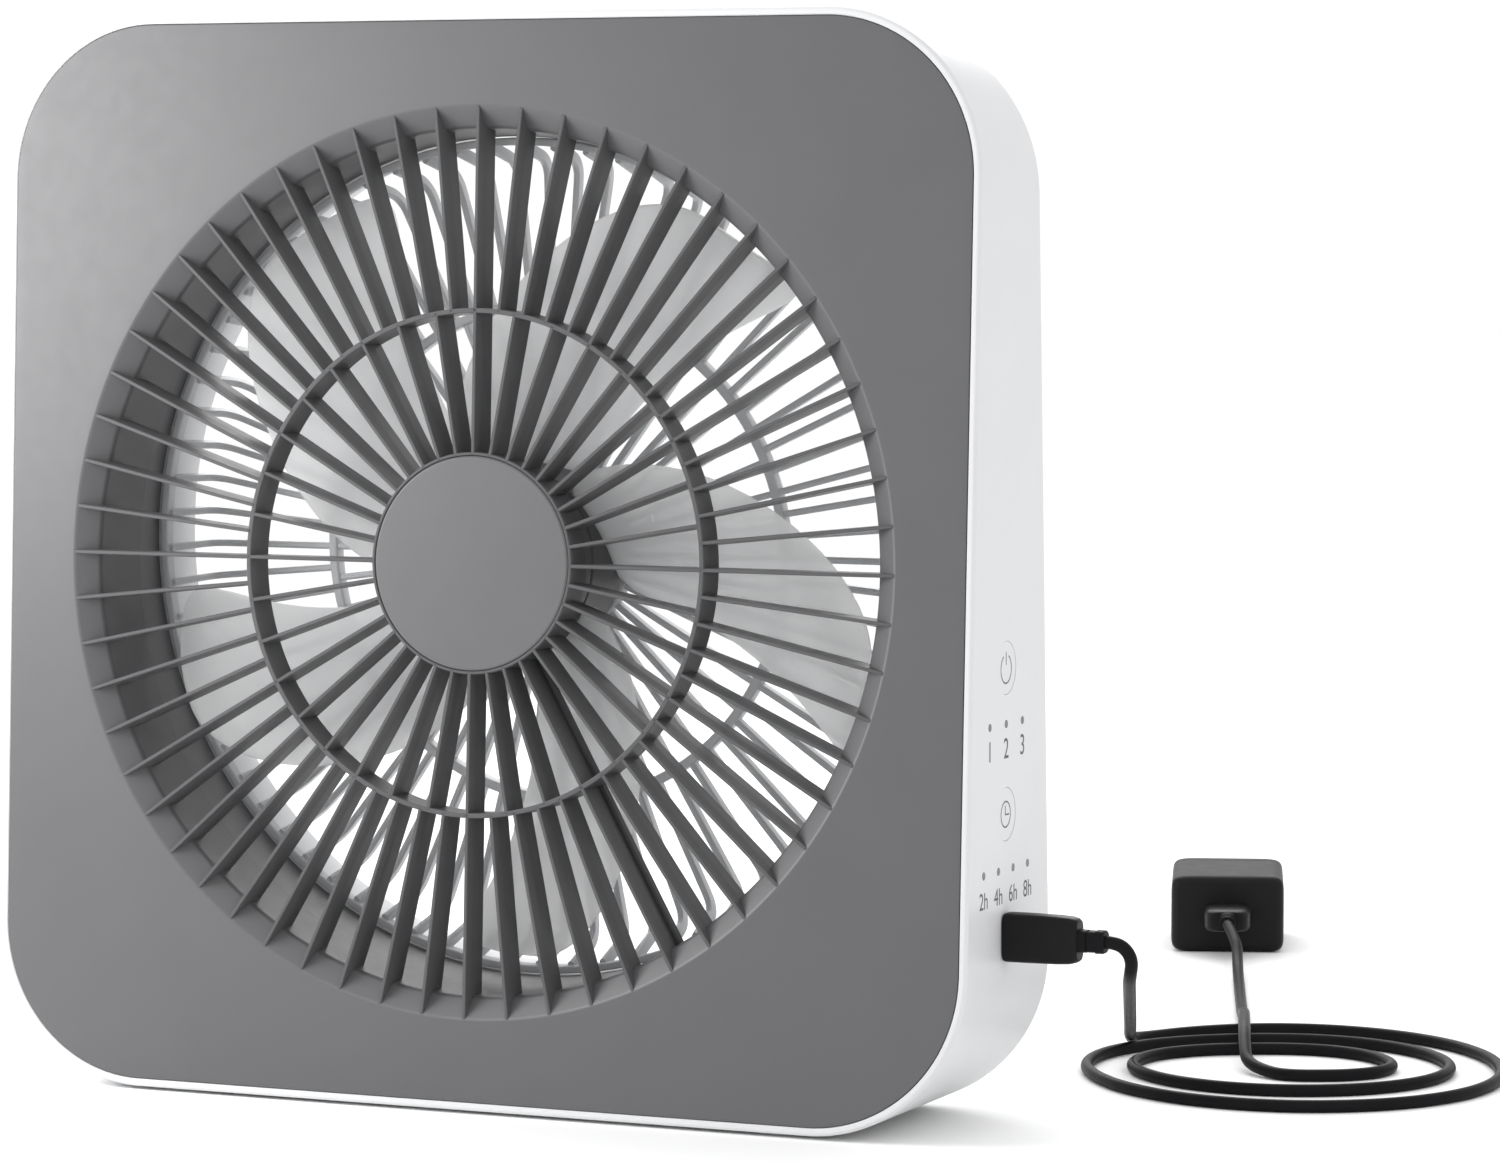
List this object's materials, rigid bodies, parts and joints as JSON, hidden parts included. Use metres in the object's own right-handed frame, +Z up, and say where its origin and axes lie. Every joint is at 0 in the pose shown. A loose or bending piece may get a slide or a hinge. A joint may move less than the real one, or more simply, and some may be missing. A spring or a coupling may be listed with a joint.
{
  "type": "box fan",
  "caption": "Slim desk box fan: square housing leaning back, radial rib grille, pale axial impeller, side push controls, plug-in lead with wall adapter.",
  "frame": {"origin": "on the floor, under the middle of the fan's housing", "axes": "+Z up, the front face looks along -Y, +X is the side wall with the controls"},
  "size_m": [0.401, 0.4649, 0.3061],
  "materials": {
    "white_shell": "satin",
    "grey_face": "satin",
    "grey_grille": "satin",
    "grey_cap": "satin",
    "grey_duct": "satin",
    "white_guard": "satin",
    "zinc_screws": "zinc plated",
    "foot_rubber": "matt",
    "dark_motor_base": "satin",
    "motor_screw_steel": "zinc plated",
    "bearing_steel": "ground",
    "driver_board": "solder mask",
    "stator_iron": "laminated",
    "winding_copper": "enamelled wire",
    "rotor_steel": "drawn",
    "magnet": "sintered",
    "shaft_steel": "ground",
    "clip_steel": "black oxide",
    "pale_blades": "translucent satin",
    "nut_brass": "machined",
    "grey_channel": "satin",
    "lead_sheath": "matt",
    "control_board": "solder mask",
    "board_parts": "moulded",
    "board_screw_steel": "zinc plated",
    "switch_body": "moulded",
    "switch_body_b": "moulded",
    "white_button": "satin",
    "white_button_b": "satin",
    "light_pipe": "smoked",
    "light_pipe_b": "smoked",
    "led_body": "moulded",
    "socket_steel": "nickel plated",
    "plug_tip_steel": "nickel plated",
    "black_plug": "satin",
    "black_boot": "matt",
    "black_cord": "soft sheen",
    "black_cord_coil": "soft sheen",
    "black_cord_tail": "soft sheen",
    "black_usb_boot": "matt",
    "black_usb_plug": "satin",
    "usb_shell_steel": "nickel plated",
    "black_adapter": "fine texture",
    "port_steel": "nickel plated",
    "blade_steel": "nickel plated"
  },
  "bodies": {
    "housing": {"main_housing": "white_shell", "front_panel": "grey_face", "front_grille": "grey_grille", "hub_cap": "grey_cap", "air_duct": "grey_duct", "rear_grille": "white_guard", "rear_grille_rim": "white_guard", "housing_screws": "zinc_screws", "rubber_feet": "foot_rubber", "motor_base": "dark_motor_base", "motor_screws": "motor_screw_steel", "motor_bearings": "bearing_steel", "motor_driver_board": "driver_board", "motor_stator": "stator_iron", "motor_windings": "winding_copper", "lead_channel": "grey_channel", "motor_leads": "lead_sheath", "control_board": "control_board", "control_board_parts": "board_parts", "control_board_screws": "board_screw_steel", "power_switch": "switch_body", "timer_switch": "switch_body_b", "speed_light_pipes": "light_pipe", "timer_light_pipes": "light_pipe_b", "indicator_leds": "led_body", "power_socket": "socket_steel", "power_plug_tip": "plug_tip_steel", "power_plug": "black_plug", "power_plug_boot": "black_boot", "cord_drop": "black_cord", "cord_coil": "black_cord_coil", "cord_tail": "black_cord_tail", "usb_plug_boot": "black_usb_boot", "usb_plug": "black_usb_plug", "usb_plug_shell": "usb_shell_steel", "adapter_case": "black_adapter", "adapter_port": "port_steel", "adapter_blades": "blade_steel"},
    "rotor": {"impeller": "pale_blades", "impeller_nut": "nut_brass", "motor_rotor_can": "rotor_steel", "motor_magnet_ring": "magnet", "motor_shaft": "shaft_steel", "motor_retaining_clip": "clip_steel"},
    "power_key": {"power_button": "white_button"},
    "timer_key": {"timer_button": "white_button_b"}
  },
  "joints": [
    {"name": "impeller_spin", "type": "hinge", "parent": "housing", "child": "rotor", "pos_m": [0, 0, 0.1534], "axis": [0, 1, 0], "continuous": true},
    {"name": "power_press", "type": "slide", "parent": "housing", "child": "power_key", "axis": [-1, 0, 0], "range_m": [0, 0.0008], "stiffness_N_per_m": 800, "springref_m": -0.0005},
    {"name": "timer_press", "type": "slide", "parent": "housing", "child": "timer_key", "axis": [-1, 0, 0], "range_m": [0, 0.0008], "stiffness_N_per_m": 800, "springref_m": -0.0005}
  ]
}
